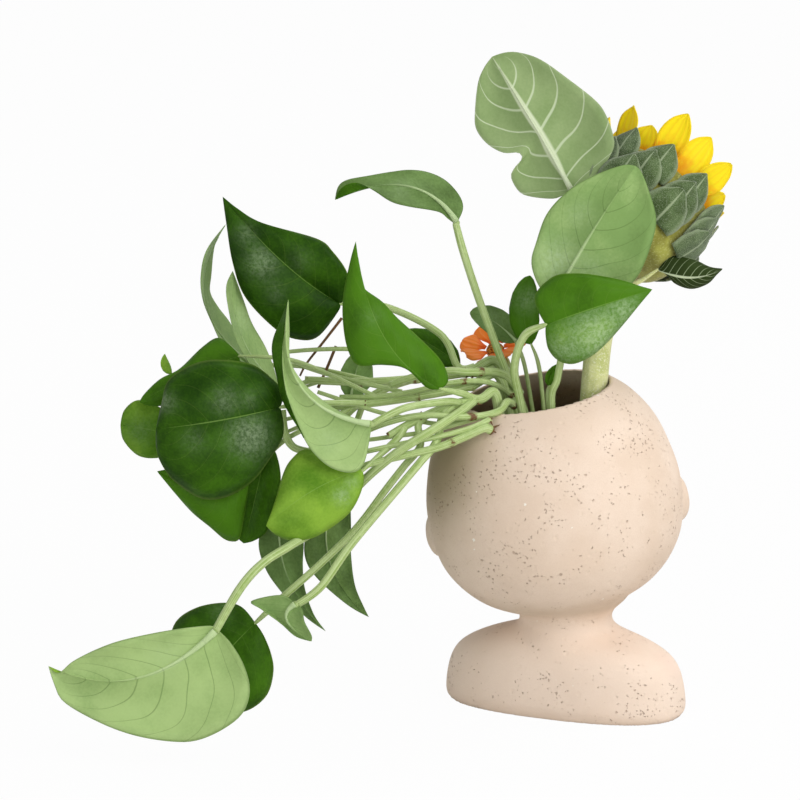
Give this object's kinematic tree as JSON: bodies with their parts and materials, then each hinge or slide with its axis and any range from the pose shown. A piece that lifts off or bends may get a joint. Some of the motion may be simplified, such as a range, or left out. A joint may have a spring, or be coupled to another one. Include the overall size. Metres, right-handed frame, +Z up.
{
  "type": "plant pot",
  "caption": "Plant pot in the form of a bust with an open, leaning head that holds trailing foliage, a sunflower and a small orange flower, with a drain plug.",
  "frame": {"origin": "middle of the flat base of the bust, on the surface it stands on", "axes": "+Z up, the face looks towards -Y, X runs from shoulder to shoulder"},
  "size_m": [0.2904, 0.3369, 0.357],
  "materials": {
    "cast_pot": "matt, pitted cast stoneware",
    "plug_rubber": "matt",
    "potting_mix": "loose, dull",
    "pothos_leaf": "waxy",
    "pothos_stem": "smooth, waxy",
    "flower_stem": "downy",
    "sunflower_green": "downy",
    "sunflower_disc": "rough",
    "yellow_petal": "satin",
    "sunflower_leaf": "rough, downy",
    "orange_petal": "satin",
    "orange_heart": "rough"
  },
  "bodies": {
    "planter": {"pot_shell": "cast_pot", "potting_mix": "potting_mix"},
    "plug": {"drain_plug": "plug_rubber"},
    "pothos": {"leaf_behind_round": "pothos_leaf", "leaf_behind_stems": "pothos_leaf", "leaf_below_round": "pothos_leaf", "leaf_big_round": "pothos_leaf", "leaf_bright": "pothos_leaf", "leaf_bud": "pothos_leaf", "leaf_central_dark": "pothos_leaf", "leaf_curled": "pothos_leaf", "leaf_dark_heart": "pothos_leaf", "leaf_far_left": "pothos_leaf", "leaf_grey_small": "pothos_leaf", "leaf_grey_upright": "pothos_leaf", "leaf_hanging_left": "pothos_leaf", "leaf_hanging_right": "pothos_leaf", "leaf_low_back": "pothos_leaf", "leaf_low_front": "pothos_leaf", "leaf_pale_oval": "pothos_leaf", "leaf_ribbon_inner": "pothos_leaf", "leaf_ribbon_outer": "pothos_leaf", "leaf_small_bright": "pothos_leaf", "leaf_small_pale": "pothos_leaf", "leaf_top_arch": "pothos_leaf", "leaf_top_left": "pothos_leaf", "leaf_twisted": "pothos_leaf", "vine_back": "pothos_stem", "vine_far": "pothos_stem", "vine_front": "pothos_stem", "vine_middle": "pothos_stem"},
    "sunflower": {"sunflower_bowl": "sunflower_green", "sunflower_bracts_1": "sunflower_green", "sunflower_bracts_2": "sunflower_green", "sunflower_bracts_3": "sunflower_green", "sunflower_disc": "sunflower_disc", "sunflower_leaf_big": "sunflower_leaf", "sunflower_leaf_small": "sunflower_leaf", "sunflower_petals": "yellow_petal", "sunflower_stem": "flower_stem"},
    "orange_flower": {"orange_heart": "orange_heart", "orange_petals": "orange_petal", "orange_stem": "flower_stem"}
  },
  "joints": [
    {"name": "plug_pull", "type": "slide", "parent": "planter", "child": "plug", "axis": [0, 0, -1], "range_m": [0, 0.02]},
    {"name": "pothos_lift", "type": "slide", "parent": "planter", "child": "pothos", "axis": [0, 0, 1], "range_m": [0, 0.06]},
    {"name": "sunflower_lift", "type": "slide", "parent": "planter", "child": "sunflower", "axis": [0, 0, 1], "range_m": [0, 0.06]},
    {"name": "orange_flower_lift", "type": "slide", "parent": "planter", "child": "orange_flower", "axis": [0, 0, 1], "range_m": [0, 0.06]}
  ]
}
